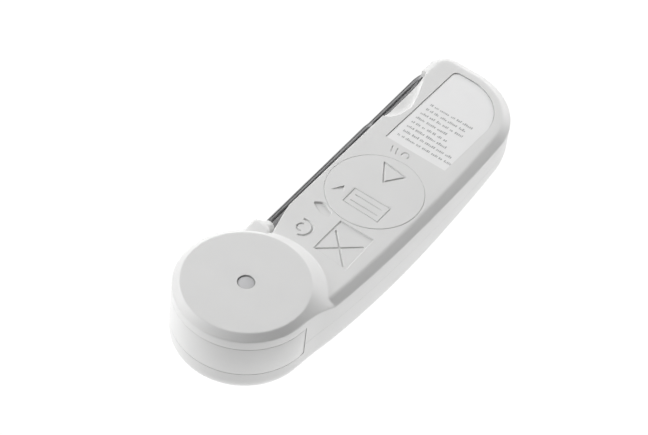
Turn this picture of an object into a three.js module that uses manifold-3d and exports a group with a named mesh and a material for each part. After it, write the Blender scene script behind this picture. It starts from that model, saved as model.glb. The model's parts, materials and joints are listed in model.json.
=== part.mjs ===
// A pocket folding-probe digital thermometer, lying on its display side.
// Frame: millimetres, +Z up. The origin is where the probe's pivot axis meets the plane of the
// flat front (display) face. +X runs along the body to its far end, +Y is the side the probe folds to.

import * as THREE from "three";
import { mergeVertices } from "three/addons/utils/BufferGeometryUtils.js";
import Module from "manifold-3d";

const wasm = await Module();
wasm.setup();

// ---------------------------------------------------------------- driving dimensions
const GAP = 0.2; // running gap between the probe carrier and the shells
const FIT = 0.1; // slip-fit gap between pieces that sit in one another
const WALL = 1.6; // moulded wall thickness

const TOP_Z = 19; // flat back face of the hub
const BACK_Z = 16.2; // flat back face of the body
const SPLIT_Z = 9.6; // parting plane of the two shells
const FRONT_ROUND = 4.4; // rounding of the front face's edge
const EDGE_IN = 2; // width of the sloped edge round the back face
const EDGE_DROP = 1.4; // and how far it falls

const HUB_R = 16.5; // round end, about the pivot
const DISC_R = 14.8; // flat disc on the hub's back
const CONE_SLOPE = 0.76; // fall of the cone round that disc, mm per mm
const END_X = 92.6; // far end of the body
const END_R = 17.8; // big corner of the far end
const CORNER_R = 4.8; // its small corner
const SIDE_Y = 11.3; // straight side, beside the probe

const CARRIER_Z = [6.9, 15.1]; // the probe carrier's lower and upper face
const POCKET_R = 16.8; // round pocket it turns in
const POCKET_OPEN_X = 3.3; // the pocket's window in the grip side ends here
const POCKET_Z = [CARRIER_Z[0] - GAP, CARRIER_Z[1] + GAP];

// The folded probe's axis passes this point and leans outwards from +X by PROBE_TILT degrees.
const PROBE_START = { x: 24, y: 10.38, z: 11 };
const PROBE_TILT = 1.3;
const SHAFT_R = 1.3;
const SHAFT_BORE_R = 1;
const TIP_R = 1.12;
const TIP_BORE_R = 0.75;
// Places along the probe's own axis, from PROBE_START.
const SHAFT_BACK = -20.4;
const NECK_END = -1.2; // where the shaft leaves the carrier's neck
const TIP_STEP = 40.5; // the shaft narrows to the tip
const TIP_END = 63.3;
const BEAD_AT = 56.7;
const CLAMP = { at: -20, length: 2, thick: 0.7 };
const NECK_Y = [6.4, 12.6]; // the neck's inner and outer side

// Wall of the probe's slot in plan: beside the neck, slanted, then along the shaft to the slot's end.
const SLOT_WALL = [[17.5, 5.95], [23.5, 7.5], [27, 8.1], [88.6, 9.2]];
const SLOT_END_X = 88.6;
const LEDGE_X = 26; // the ledge under the folded probe starts here
const LEDGE_Z = 8.8;
const ROOF = { x: 84.3, z: 12.9 }; // past this x the slot is roofed over the probe's point
const SCOOP = { x: 72.3, y: 9.3, rx: 9.6, ry: 4.5, deep: 1.5, rise: 0.25 }; // finger recess

const CELL_R = 10; // 20 mm coin cells, 3.2 mm thick
const CELL_T = 3.2;
const CELL_BOTTOM = 8;
const CELL_STEP = 0.05; // between the two cells
const COVER = { x: 43.2, y: -4.2, r: 11.6, thick: 1.3 };
const COVER_SEAT_Z = 14.6;
const COVER_SKIRT_R = [10.15, 10.75];
const LUG_R = [10.6, 11.95];
const LUG_TRACK_Z = [12.6, 13.7];
const LUG_ANGLES = [20, 140, 260];
const LUG_WIDTH = 24; // degrees
const LUG_THICK = 0.8;
const UNLOCK_ANGLE = 30; // the cover's turn from locked to free
const LABEL = { x0: 59.4, x1: 88.4, y0: -12.8, y1: 4.3, cornerR: 1.5, bigR: 12, thick: 0.13 };
const LABEL_DEPTH = 0.35; // recess that the label is stuck in
const LABEL_Z = BACK_Z - LABEL_DEPTH + 0.01;
const WINDOW = { x: 48, y: -3.4, w: 42, h: 20, r: 2.5, thick: 0.9 };
const LCD = { z0: 1.7, z1: 3.5, w: 37.5, h: 16.5 };
const LCD_FRAME_RIM = 1.3;
const STRIP = { half: 17, thick: 1.6 }; // elastomer connector strips
const BOARD_Z = [5.7, 6.7];
const PARTS_Z = BOARD_Z[1] + 0.05; // underside of what is soldered to the board
const CHIP = { x: [64, 71], y: [-7, 0], high: 1 };
const REED = { x: [20.6, 22.4], y: [-10, -2], high: 1.65 };
const CRYSTAL = { x: [70, 76], y: -13, r: 0.95 };
const MAGNET = { x: 10.8, y: -3.9, r: 2, z: [8.5, 11.3] };
const SCREWS = [
  { name: "case_screw_near", x: 75, y: -9.5 },
  { name: "case_screw_far", x: 84.5, y: 1 },
];
const SCREW = { headR: 1.75, headZ: [12.55, 13.95], threadR: 0.8, threadZ: 4, slot: 2.4, slotWidth: 0.4 };
const PIN_R = 2;
const PIN_Z = [2.3, TOP_Z - 0.3];
const BUSH_R = 3;
const LID_THICK = 1.2;
const CARRIER_ROOM_R = [4.2, 14.5]; // hollow of the carrier, under its lid
const LID_R = 15.05;
const CABLE_ROOM_R = [4, 12.8]; // chamber for the cable's slack, round the pin's boss
const DISC_ROOM_R = [6.8, 11.8]; // chamber that lightens the disc
const WASHER = { r0: 3.2, r1: 5.4, thick: 0.25, wave: 0.15, seatR: 6 };
const SEAL_SEAT_R = [12.7, 14.4]; // groove of each seal between the carrier and a shell
const SEAL_SEAT_DEPTH = 0.9; // from the carrier's face
const SEAL = { r: 13.55, thickR: 0.42, gap: 0.04 };

const CURVE_STEPS = 10; // straight pieces in each curve of the outline

// Where the outline's curves meet, as angles round the hub and round the far end's big corner.
const GRIP_FROM = -94;
const GRIP_TO = -86;
const BLEND_AT = 62;
const BLEND_X = 24; // where the hub's blend has run out into the straight side
const WAIST = { x: 6.9, y: -17.15, angle: -8.5 }; // the grip side's turning point, and its direction

// ---------------------------------------------------------------- materials
const plastic = (color, roughness) =>
  new THREE.MeshStandardMaterial({ color, roughness, metalness: 0 });
const metal = (color, roughness) =>
  new THREE.MeshStandardMaterial({ color, roughness, metalness: 1 });
const white = plastic(0xe4e5e5, 0.45);
const labelFilm = plastic(0xf0f0ef, 0.35);
const rubber = plastic(0x2b2c2e, 0.85);
const steel = metal(0x8c8e91, 0.28);
const spring = metal(0xc9c3ae, 0.3);
const pinGrey = plastic(0xb9babb, 0.5);
const board = plastic(0x1f6b3a, 0.5);
const black = plastic(0x1b1b1d, 0.4);
const glass = new THREE.MeshStandardMaterial({ color: 0xa9b4ae, roughness: 0.1, metalness: 0 });
const wire = plastic(0xb8342c, 0.5);

// ---------------------------------------------------------------- solids
const deg = THREE.MathUtils.degToRad;
const polar = (r, degrees) => [r * Math.cos(deg(degrees)), r * Math.sin(deg(degrees))];

function solid(geometry) {
  const bare = geometry.index ? geometry.toNonIndexed() : geometry.clone();
  bare.deleteAttribute("normal");
  bare.deleteAttribute("uv");
  const merged = mergeVertices(bare, 1e-4);
  return new wasm.Manifold(
    new wasm.Mesh({
      numProp: 3,
      vertProperties: merged.attributes.position.array,
      triVerts: new Uint32Array(merged.index.array),
    }),
  );
}

function toGeometry(manifold) {
  const mesh = manifold.getMesh();
  const g = new THREE.BufferGeometry();
  g.setAttribute("position", new THREE.BufferAttribute(new Float32Array(mesh.vertProperties), 3));
  g.setIndex(new THREE.BufferAttribute(new Uint32Array(mesh.triVerts), 1));
  g.computeVertexNormals();
  return g;
}

const join = (first, ...rest) => rest.reduce((a, b) => a.add(b), first);
const cut = (first, ...rest) => rest.reduce((a, b) => a.subtract(b), first);
const common = (first, ...rest) => rest.reduce((a, b) => a.intersect(b), first);

function prism(shape, z0, z1, curveSegments = 6) {
  const g = new THREE.ExtrudeGeometry(shape, { depth: z1 - z0, bevelEnabled: false, curveSegments });
  return solid(g.translate(0, 0, z0));
}

function box(x0, x1, y0, y1, z0, z1) {
  const g = new THREE.BoxGeometry(x1 - x0, y1 - y0, z1 - z0);
  return solid(g.translate((x0 + x1) / 2, (y0 + y1) / 2, (z0 + z1) / 2));
}

// A solid of revolution about +Z through (x, y). Each profile point is [radius, z].
function turned(profile, segments = 40, x = 0, y = 0) {
  const points = profile.map(([r, z]) => new THREE.Vector2(r, z));
  const g = new THREE.LatheGeometry(points, segments).rotateX(Math.PI / 2);
  return solid(g.translate(x, y, 0));
}

function cylinder(r, z0, z1, x = 0, y = 0, segments = 28) {
  return turned([[0, z0], [r, z0], [r, z1], [0, z1]], segments, x, y);
}

function ring(r0, r1, z0, z1, x = 0, y = 0, segments = 40) {
  return turned([[r0, z0], [r1, z0], [r1, z1], [r0, z1], [r0, z0]], segments, x, y);
}

function oRing(radius, thickness, z, x = 0, y = 0) {
  const g = new THREE.TorusGeometry(radius, thickness, 6, 36);
  return solid(g.translate(x, y, z));
}

// A round bar along +X, about the X axis. Each profile point is [radius, x].
function barAlongX(profile, segments = 20) {
  const points = profile.map(([r, x]) => new THREE.Vector2(r, x));
  return solid(new THREE.LatheGeometry(points, segments).rotateZ(-Math.PI / 2));
}

// Moves a solid from the probe's own frame (+X along its axis) to where the folded probe lies.
function alongProbe(made) {
  return made.rotate([0, 0, PROBE_TILT]).translate([PROBE_START.x, PROBE_START.y, PROBE_START.z]);
}

function onProbeAxis(x) {
  return [x, PROBE_START.y + (x - PROBE_START.x) * Math.tan(deg(PROBE_TILT)), PROBE_START.z];
}

function tube(points, radius, steps, sides = 8) {
  const path = new THREE.CatmullRomCurve3(points.map((p) => new THREE.Vector3(...p)));
  const section = new THREE.Shape();
  section.absarc(0, 0, radius, 0, 2 * Math.PI);
  const g = new THREE.ExtrudeGeometry(section, {
    steps,
    extrudePath: path,
    bevelEnabled: false,
    curveSegments: sides / 2,
  });
  return solid(g);
}

function roundedRect(x0, x1, y0, y1, r) {
  const s = new THREE.Shape();
  s.moveTo(x0 + r, y0);
  s.lineTo(x1 - r, y0);
  s.absarc(x1 - r, y0 + r, r, -Math.PI / 2, 0);
  s.lineTo(x1, y1 - r);
  s.absarc(x1 - r, y1 - r, r, 0, Math.PI / 2);
  s.lineTo(x0 + r, y1);
  s.absarc(x0 + r, y1 - r, r, Math.PI / 2, Math.PI);
  s.lineTo(x0, y0 + r);
  s.absarc(x0 + r, y0 + r, r, Math.PI, 1.5 * Math.PI);
  return s;
}

// ---------------------------------------------------------------- plan outline of the housing
// Counter-clockwise: waist, swelling grip side, big far corner, small far corner, probe side, round hub.
function outlinePath() {
  const path = new THREE.Path();
  const centre = { x: END_X - END_R, y: 0.2 };
  const [gripX, gripY] = polar(HUB_R, GRIP_FROM);
  const [gripDX, gripDY] = polar(2.4, GRIP_FROM + 90);
  const [awayX, awayY] = polar(1, WAIST.angle);
  const [turnX, turnY] = polar(END_R, GRIP_TO);
  const [turnDX, turnDY] = polar(22, GRIP_TO + 90);
  const [blendX, blendY] = polar(HUB_R, BLEND_AT);
  const [blendDX, blendDY] = polar(5, BLEND_AT - 90);
  path.moveTo(gripX, gripY);
  path.bezierCurveTo(
    gripX + gripDX, gripY + gripDY,
    WAIST.x - 2.4 * awayX, WAIST.y - 2.4 * awayY,
    WAIST.x, WAIST.y,
  );
  path.bezierCurveTo(
    WAIST.x + 14 * awayX, WAIST.y + 14 * awayY,
    centre.x + turnX - turnDX, centre.y + turnY - turnDY,
    centre.x + turnX, centre.y + turnY,
  );
  path.absarc(centre.x, centre.y, END_R, deg(GRIP_TO), 0);
  path.lineTo(END_X, SIDE_Y - CORNER_R);
  path.absarc(END_X - CORNER_R, SIDE_Y - CORNER_R, CORNER_R, 0, Math.PI / 2);
  path.lineTo(BLEND_X, SIDE_Y);
  path.bezierCurveTo(
    BLEND_X - 6, SIDE_Y,
    blendX + blendDX, blendY + blendDY,
    blendX, blendY,
  );
  path.absarc(0, 0, HUB_R, deg(BLEND_AT), deg(360 + GRIP_FROM));
  return path;
}

function withoutRepeats(points) {
  return points.filter((p, i) => p.distanceTo(points.at(i - 1)) > 1e-3);
}

// The outline's points, moved inwards along their normals.
function outlinePoints(inset) {
  const points = withoutRepeats(outlinePath().getPoints(CURVE_STEPS));
  return points.map((p, i) => {
    const before = points.at(i - 1);
    const after = points[(i + 1) % points.length];
    const along = after.clone().sub(before).normalize();
    return new THREE.Vector2(p.x - along.y * inset, p.y + along.x * inset);
  });
}

const outlineShape = (inset = 0) => new THREE.Shape(outlinePoints(inset));

// The outline between two heights with its lower or upper edge rounded or sloped off.
function edgedBlock(z0, z1, edge) {
  const g = new THREE.ExtrudeGeometry(outlineShape(), {
    depth: z1 - z0 - 2 * edge.drop,
    bevelEnabled: true,
    bevelThickness: edge.drop,
    bevelSize: edge.inset,
    bevelOffset: -edge.inset,
    bevelSegments: edge.segments,
  });
  return solid(g.translate(0, 0, z0 + edge.drop));
}

// Everything on the probe's side of the slot's wall.
function probeSide(inset, z0, z1, endX = 100) {
  const wall = SLOT_WALL.map(([x, y]) => [x, y - inset]);
  wall.at(-1)[0] = endX;
  const s = new THREE.Shape();
  s.moveTo(-30, wall[0][1]);
  wall.forEach(([x, y]) => s.lineTo(x, y));
  s.lineTo(endX, 30);
  s.lineTo(-30, 30);
  return prism(s, z0, z1);
}

// The space beyond the carrier's pocket and beside the probe's slot, kept `inset` inside the walls.
function bodyRoom(inset, z0, z1) {
  return cut(
    prism(outlineShape(inset), z0, z1),
    cylinder(POCKET_R + inset, z0 - 1, z1 + 1, 0, 0, 48),
    probeSide(inset, z0 - 1, z1 + 1),
    box(-30, 4, -30, 30, z0 - 1, z1 + 1),
  );
}

const carrierPocket = () =>
  join(
    cylinder(POCKET_R, ...POCKET_Z, 0, 0, 48),
    box(-20, POCKET_OPEN_X, -20, -14, ...POCKET_Z),
  );

// Space for the folded probe and its neck, open on the outer side, and at the back up to the roof.
function probeSlot() {
  const beyondHub = box(2, LEDGE_X, -40, 40, POCKET_Z[0], TOP_Z + 1);
  const overLedge = box(LEDGE_X - 1, ROOF.x, -40, 40, LEDGE_Z, TOP_Z + 1);
  const underRoof = box(ROOF.x - 1, SLOT_END_X, -40, 40, LEDGE_Z, ROOF.z);
  return common(probeSide(0, 0, TOP_Z + 2, SLOT_END_X), join(beyondHub, overLedge, underRoof));
}

// ---------------------------------------------------------------- housing pieces
function frontShell() {
  const edge = { drop: FRONT_ROUND, inset: FRONT_ROUND, segments: 5 };
  const blank = common(
    edgedBlock(0, SPLIT_Z + 2 * FRONT_ROUND, edge),
    box(-40, 120, -40, 40, -1, SPLIT_Z - 0.02),
  );
  const opening = { x: WINDOW.w / 2 - 3, y: WINDOW.h / 2 - 3 };
  const bosses = SCREWS.map(({ x, y }) => cylinder(2.1, WALL, SPLIT_Z - 0.1, x, y, 20));
  const pilots = SCREWS.map(({ x, y }) => cylinder(0.85, 3, SPLIT_Z + 1, x, y, 12));
  const hollow = cut(
    join(
      bodyRoom(WALL, WALL, SPLIT_Z + 1),
      common(prism(outlineShape(WALL), WALL, LEDGE_Z - WALL), box(29, 87, 0, 20, 0, LEDGE_Z)),
    ),
    ...bosses,
  );
  return cut(
    blank,
    hollow,
    carrierPocket(),
    probeSlot(),
    ring(...CABLE_ROOM_R, 2, POCKET_Z[0] + 1),
    ring(...SEAL_SEAT_R, CARRIER_Z[0] - SEAL_SEAT_DEPTH, POCKET_Z[0] + 1),
    cylinder(PIN_R + 0.05, 2.2, POCKET_Z[0] + 1, 0, 0, 24),
    box(11, 20, 1.4, 3.4, 2, 5), // cable passage
    prism(roundedRect(...windowEdges(0), WINDOW.r), -1, 1),
    box(
      WINDOW.x - opening.x, WINDOW.x + opening.x,
      WINDOW.y - opening.y, WINDOW.y + opening.y, 0, WALL + 1,
    ),
    gasketGroove(),
    ...pilots,
  );
}

function windowEdges(inset) {
  const { x, y, w, h } = WINDOW;
  return [x - w / 2 + inset, x + w / 2 - inset, y - h / 2 + inset, y + h / 2 - inset];
}

// A sector of a ring about the cover's centre.
function coverSector(r0, r1, z0, z1, middle, width) {
  const s = new THREE.Shape();
  s.absarc(0, 0, r1, deg(middle - width / 2), deg(middle + width / 2));
  s.absarc(0, 0, r0, deg(middle + width / 2), deg(middle - width / 2), true);
  return prism(s, z0, z1, 8);
}

function batteryWell() {
  const { x, y } = COVER;
  const upper = common(
    cylinder(13.4, SPLIT_Z, BACK_Z - WALL, x, y, 48),
    prism(outlineShape(0.3), SPLIT_Z, BACK_Z),
  );
  return join(upper, cylinder(10.9, 7.7, SPLIT_Z + 1, x, y, 48));
}

function batteryOpening() {
  const { x, y, r } = COVER;
  const notches = LUG_ANGLES.map((a) =>
    coverSector(10.5, 12.1, LUG_TRACK_Z[0] + 0.2, COVER_SEAT_Z + 0.1, a + UNLOCK_ANGLE, LUG_WIDTH + 4)
      .translate([x, y, 0]),
  );
  return join(
    cylinder(10.4, 7, COVER_SEAT_Z, x, y, 48),
    cylinder(12.2, LUG_TRACK_Z[0], LUG_TRACK_Z[1], x, y, 48),
    cylinder(10.9, LUG_TRACK_Z[0], COVER_SEAT_Z + 1, x, y, 48),
    cylinder(r + 0.15, COVER_SEAT_Z, BACK_Z + 1, x, y, 48),
    ...notches,
  );
}

function backShell() {
  const prismOutline = prism(outlineShape(), SPLIT_Z + 0.02, TOP_Z + 1);
  const coneFoot = DISC_R + (TOP_Z - SPLIT_Z) / CONE_SLOPE;
  const cone = turned([[0, SPLIT_Z], [coneFoot, SPLIT_Z], [DISC_R, TOP_Z], [0, TOP_Z]], 56);
  const slab = edgedBlock(SPLIT_Z - 5, BACK_Z, { drop: EDGE_DROP, inset: EDGE_IN, segments: 1 });
  const hub = common(cone, prismOutline, cylinder(HUB_R, SPLIT_Z, TOP_Z + 1, 0, 0, 56));
  const blank = common(prismOutline, join(cone, slab));
  const bosses = SCREWS.map(({ x, y }) => cylinder(2.6, SPLIT_Z + 0.1, BACK_Z, x, y, 20));
  const room = cut(bodyRoom(WALL, SPLIT_Z - 1, BACK_Z - WALL), batteryWell(), ...bosses);
  const body = cut(
    join(blank, batteryWell()),
    room,
    probeSlot(),
    batteryOpening(),
    fingerScoop(),
  );
  const screwHoles = SCREWS.flatMap(({ x, y }) => [
    cylinder(1.9, 12.5, BACK_Z + 1, x, y, 20),
    cylinder(1.15, SPLIT_Z - 1, 13, x, y, 16),
  ]);
  return cut(
    join(body, hub),
    carrierPocket(),
    ring(...DISC_ROOM_R, SPLIT_Z, TOP_Z - WALL),
    ring(...SEAL_SEAT_R, SPLIT_Z, CARRIER_Z[1] + SEAL_SEAT_DEPTH),
    cylinder(WASHER.seatR, SPLIT_Z, CARRIER_Z[1] + SEAL_SEAT_DEPTH),
    cylinder(PIN_R + 0.08, SPLIT_Z, TOP_Z + 1, 0, 0, 24),
    prism(labelShape(-FIT), BACK_Z - LABEL_DEPTH, BACK_Z + 1),
    gasketGroove(),
    ...screwHoles,
  );
}

// Shallow finger recess that lets a nail reach the folded probe.
function fingerScoop() {
  const { x, y, rx, ry, deep, rise } = SCOOP;
  const g = new THREE.SphereGeometry(1, 28, 16).scale(rx, ry, deep + rise);
  return solid(g.translate(x, y, BACK_Z + rise));
}

function gasketLoop(spread) {
  return cut(
    bodyRoom(0.6 - spread, SPLIT_Z - 0.3 - spread, SPLIT_Z + 0.3 + spread),
    bodyRoom(1.05 + spread, SPLIT_Z - 1, SPLIT_Z + 1),
  );
}
const gasketGroove = () => gasketLoop(0.08);

function labelShape(inset) {
  const { x0, x1, y0, y1, cornerR, bigR } = LABEL;
  const s = new THREE.Shape();
  s.moveTo(x0 + inset, y0 + inset);
  s.lineTo(x1 - bigR, y0 + inset);
  s.absarc(x1 - bigR, y0 + bigR, bigR - inset, -Math.PI / 2, 0);
  s.lineTo(x1 - inset, y1 - cornerR);
  s.absarc(x1 - cornerR, y1 - cornerR, cornerR - inset, 0, Math.PI / 2);
  s.lineTo(x0 + inset, y1 - inset);
  return s;
}

function batteryCover() {
  const skirtZ = LUG_TRACK_Z[0] + 0.15;
  const top = BACK_Z - COVER.thick;
  const lugs = LUG_ANGLES.map((a) => coverSector(...LUG_R, skirtZ, skirtZ + LUG_THICK, a, LUG_WIDTH));
  return join(
    cylinder(COVER.r, top, BACK_Z, 0, 0, 48),
    ring(...COVER_SKIRT_R, skirtZ, top + 0.1, 0, 0, 48),
    ...lugs,
  );
}

function circuitBoard() {
  const holes = SCREWS.map(({ x, y }) => cylinder(2.4, 5, 8, x, y, 20));
  return cut(bodyRoom(WALL + 0.5, ...BOARD_Z), ...holes);
}

function centredOnWindow(w, h, z0, z1) {
  const { x, y } = WINDOW;
  return box(x - w / 2, x + w / 2, y - h / 2, y + h / 2, z0, z1);
}

function lcdFrame() {
  return cut(
    centredOnWindow(
      LCD.w + 2 * LCD_FRAME_RIM, LCD.h + 2 * LCD_FRAME_RIM,
      LCD.z0, BOARD_Z[0] - 0.05,
    ),
    centredOnWindow(LCD.w + 2 * FIT, LCD.h + 2 * FIT, 0, 9),
  );
}

function elastomerStrip(side) {
  const y = WINDOW.y + side * (LCD.h / 2 - 1);
  const { half, thick } = STRIP;
  return box(
    WINDOW.x - half, WINDOW.x + half,
    y - thick / 2, y + thick / 2,
    LCD.z1 + 0.02, BOARD_Z[0] - 0.02,
  );
}

// A bent strip: its side view in XZ, and its width across Y.
function bentStrip(points, thickness, y, width) {
  const s = new THREE.Shape(points.map(([x, z]) => new THREE.Vector2(x, z)));
  points.toReversed().forEach(([x, z]) => s.lineTo(x, z + thickness));
  const g = new THREE.ExtrudeGeometry(s, { depth: width, bevelEnabled: false });
  return solid(g.rotateX(Math.PI / 2).translate(0, y + width / 2, 0));
}

function negativeContact() {
  const { x, y } = COVER;
  const z = BOARD_Z[1] + 0.03;
  return bentStrip([[x - 6, z], [x - 4, z], [x, 7.7], [x + 2, 7.7], [x + 4, 7.4]], 0.22, y, 3);
}

function positiveContact() {
  const { x, y } = COVER;
  const z = BOARD_Z[1] + 0.03;
  return join(
    box(x - 12.6, x - 10.08, y - 1.2, y + 1.2, z, z + 0.22),
    box(x - 10.3, x - 10.08, y - 1.2, y + 1.2, z, 12.4),
  );
}

function caseScrew() {
  const { headR, headZ, threadR, threadZ, slot, slotWidth } = SCREW;
  const head = cylinder(headR, ...headZ, 0, 0, 20);
  const thread = cylinder(threadR, threadZ, headZ[0] + 0.05, 0, 0, 12);
  const socketZ = [headZ[1] - 0.55, headZ[1] + 1];
  const [long, short] = [slot / 2, slotWidth / 2];
  return cut(
    join(head, thread),
    box(-long, long, -short, short, ...socketZ),
    box(-short, short, -long, long, ...socketZ),
  );
}

// A thin ring bent into three waves.
function frictionWasher() {
  const { r0, r1, thick, wave } = WASHER;
  const section = [[r0, 0], [r1, 0], [r1, thick], [r0, thick], [r0, 0]];
  const points = section.map(([r, z]) => new THREE.Vector2(r, z));
  const g = new THREE.LatheGeometry(points, 36).rotateX(Math.PI / 2);
  const position = g.attributes.position;
  for (let i = 0; i < position.count; i++) {
    const angle = Math.atan2(position.getY(i), position.getX(i));
    position.setZ(i, position.getZ(i) + CARRIER_Z[1] + 0.25 + wave * Math.cos(3 * angle));
  }
  return solid(g);
}

// From the board down into the cable chamber, then in a shrinking coil up to the carrier's floor.
function sensorCable() {
  const count = 15;
  const turns = 526 / 360;
  const coil = Array.from({ length: count }, (_, i) => {
    const t = i / (count - 1);
    const angle = deg(14) + t * turns * 2 * Math.PI;
    const r = 9.6 - 2.6 * t;
    return [r * Math.cos(angle), r * Math.sin(angle), 3.4 + 1.6 * t];
  });
  return tube([[24, 3, 5.1], [20, 2.5, 3.9], [15, 2.4, 3.4], ...coil], 0.4, 44, 6);
}

// ---------------------------------------------------------------- probe pieces
// The neck flares from the shaft into the round carrier.
function neck() {
  const flare = [[6, -18], [5.4, -10], [4.6, -7.5], [3.4, -5.5], [2.5, -4], [1.9, -2.5], [1.6, NECK_END]];
  return common(
    alongProbe(barAlongX([[0, flare[0][1]], ...flare, [0, NECK_END]], 28)),
    box(4, 30, ...NECK_Y, ...CARRIER_Z),
  );
}

function probeCarrier() {
  const boreR = SHAFT_R + 0.05;
  const bore = alongProbe(barAlongX([[0, -19], [boreR, -19], [boreR, 6], [0, 6]]));
  return cut(
    join(cylinder(HUB_R, ...CARRIER_Z, 0, 0, 56), neck()),
    ring(...CARRIER_ROOM_R, CARRIER_Z[0] + 1.5, CARRIER_Z[1] + 1, 0, 0, 48),
    cylinder(LID_R + 0.15, CARRIER_Z[1] - LID_THICK - FIT, CARRIER_Z[1] + 1, 0, 0, 48),
    cylinder(BUSH_R + 0.05, CARRIER_Z[0] - 1, CARRIER_Z[1], 0, 0, 24),
    bore,
    box(-9, -4.6, -3, 4.5, CARRIER_Z[0] - 1, CARRIER_Z[0] + 2), // cable slot in the floor
  );
}

function probeShaft() {
  return barAlongX([
    [SHAFT_BORE_R, SHAFT_BACK],
    [SHAFT_R, SHAFT_BACK],
    [SHAFT_R, TIP_STEP - 2.4],
    [TIP_R + 0.02, TIP_STEP],
    [SHAFT_BORE_R, TIP_STEP],
    [SHAFT_BORE_R, SHAFT_BACK],
  ]);
}

function probeTip() {
  const start = TIP_STEP + 0.05;
  return barAlongX([
    [TIP_BORE_R, start],
    [TIP_R, start],
    [TIP_R, TIP_END - 4],
    [0.15, TIP_END],
    [0, TIP_END],
    [0, TIP_END - 5],
    [TIP_BORE_R, TIP_END - 6],
    [TIP_BORE_R, start],
  ]);
}

function sensorBead() {
  return barAlongX([[0, BEAD_AT], [0.6, BEAD_AT + 0.3], [0.6, BEAD_AT + 0.6], [0, BEAD_AT + 0.8]], 12);
}

function shaftClamp() {
  const { at, length, thick } = CLAMP;
  const [r0, r1] = [SHAFT_R + 0.05, SHAFT_R + 0.05 + thick];
  return barAlongX([[r0, at], [r1, at], [r1, at + length], [r0, at + length], [r0, at]]);
}

// From the cable slot in the carrier's floor, up to the shaft and through it to the bead.
function sensorLead() {
  const inside = [[-7, 0, 7.2], [-5, 5, 9.8], [1, 9.3, 10.8]];
  const straight = [5, 12, 30, 50, 70, PROBE_START.x + BEAD_AT - 0.3].map(onProbeAxis);
  return tube([...inside, ...straight], 0.35, 32, 6);
}

// ---------------------------------------------------------------- assembly
function piece(name, made, material) {
  const mesh = new THREE.Mesh(toGeometry(made), material);
  mesh.name = name;
  return mesh;
}

function coinCell(z) {
  return cylinder(CELL_R, z, z + CELL_T, COVER.x, COVER.y, 48);
}

function boardPart({ x, y, high }) {
  return box(...x, ...y, PARTS_Z, PARTS_Z + high);
}

function timingCrystal() {
  const { x, y, r } = CRYSTAL;
  const can = barAlongX([[0, x[0]], [r, x[0]], [r, x[1]], [0, x[1]]], 14);
  return can.translate([0, y, PARTS_Z + r + 0.05]);
}

function sealRing(z) {
  return oRing(SEAL.r, SEAL.thickR, z);
}

const sealOffset = SEAL.thickR + SEAL.gap;
const windowShape = roundedRect(...windowEdges(FIT), WINDOW.r - FIT);
const batterySealZ = [COVER_SEAT_Z + 0.02, BACK_Z - COVER.thick - 0.03];

const housing = new THREE.Group();
housing.add(
  piece("front_shell", frontShell(), white),
  piece("back_shell", backShell(), white),
  piece("case_gasket", gasketLoop(0), rubber),
  piece("display_window", prism(windowShape, 0.08, 0.08 + WINDOW.thick), glass),
  piece("lcd_glass", centredOnWindow(LCD.w, LCD.h, LCD.z0, LCD.z1), glass),
  piece("lcd_frame", lcdFrame(), black),
  piece("elastomer_strip_left", elastomerStrip(1), rubber),
  piece("elastomer_strip_right", elastomerStrip(-1), rubber),
  piece("circuit_board", circuitBoard(), board),
  piece("controller_chip", boardPart(CHIP), black),
  piece("timing_crystal", timingCrystal(), steel),
  piece("reed_switch", boardPart(REED), glass),
  piece("negative_contact", negativeContact(), spring),
  piece("positive_contact", positiveContact(), spring),
  piece("coin_cell_lower", coinCell(CELL_BOTTOM), steel),
  piece("coin_cell_upper", coinCell(CELL_BOTTOM + CELL_T + CELL_STEP), steel),
  piece("battery_seal", ring(11, COVER.r, ...batterySealZ, COVER.x, COVER.y), rubber),
  piece("rating_label", prism(labelShape(0.05), LABEL_Z, LABEL_Z + LABEL.thick), labelFilm),
  piece("pivot_pin", cylinder(PIN_R, ...PIN_Z, 0, 0, 32), pinGrey),
  piece("friction_washer", frictionWasher(), spring),
  piece("upper_seal_ring", sealRing(CARRIER_Z[1] + sealOffset), rubber),
  piece("lower_seal_ring", sealRing(CARRIER_Z[0] - sealOffset), rubber),
  piece("sensor_cable", sensorCable(), wire),
);
for (const { name, x, y } of SCREWS) {
  const screw = piece(name, caseScrew(), steel);
  screw.position.set(x, y, 0);
  housing.add(screw);
}

const cover = new THREE.Group();
cover.position.set(COVER.x, COVER.y, 0);
cover.add(piece("battery_cover", batteryCover(), white));

const lidZ = [CARRIER_Z[1] - LID_THICK, CARRIER_Z[1]];
const bushZ = [CARRIER_Z[0] + 0.05, CARRIER_Z[1] - 0.05];

const probe = new THREE.Group();
probe.add(
  piece("probe_carrier", probeCarrier(), white),
  piece("carrier_lid", ring(BUSH_R + 0.15, LID_R, ...lidZ, 0, 0, 48), white),
  piece("pivot_bush", ring(PIN_R + 0.05, BUSH_R, ...bushZ, 0, 0, 32), spring),
  piece("sensor_lead", sensorLead(), wire),
  piece("switch_magnet", cylinder(MAGNET.r, ...MAGNET.z, MAGNET.x, MAGNET.y, 20), steel),
);

const probeBar = new THREE.Group();
probeBar.position.set(PROBE_START.x, PROBE_START.y, PROBE_START.z);
probeBar.rotation.z = deg(PROBE_TILT);
probeBar.add(
  piece("probe_shaft", probeShaft(), steel),
  piece("probe_tip", probeTip(), steel),
  piece("sensor_bead", sensorBead(), black),
  piece("shaft_clamp", shaftClamp(), spring),
);
probe.add(probeBar);

const thermometer = new THREE.Group();
thermometer.add(housing, cover, probe);
export default thermometer;
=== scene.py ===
"""Looks of a pocket folding-probe thermometer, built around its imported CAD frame.

All shapes are worked out in millimetres in the frame's own axes (+X along the body, +Y towards the
folded probe, +Z from the display face to the back) and are turned into metres when a mesh is made.
"""
import json
import math
import random

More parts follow.
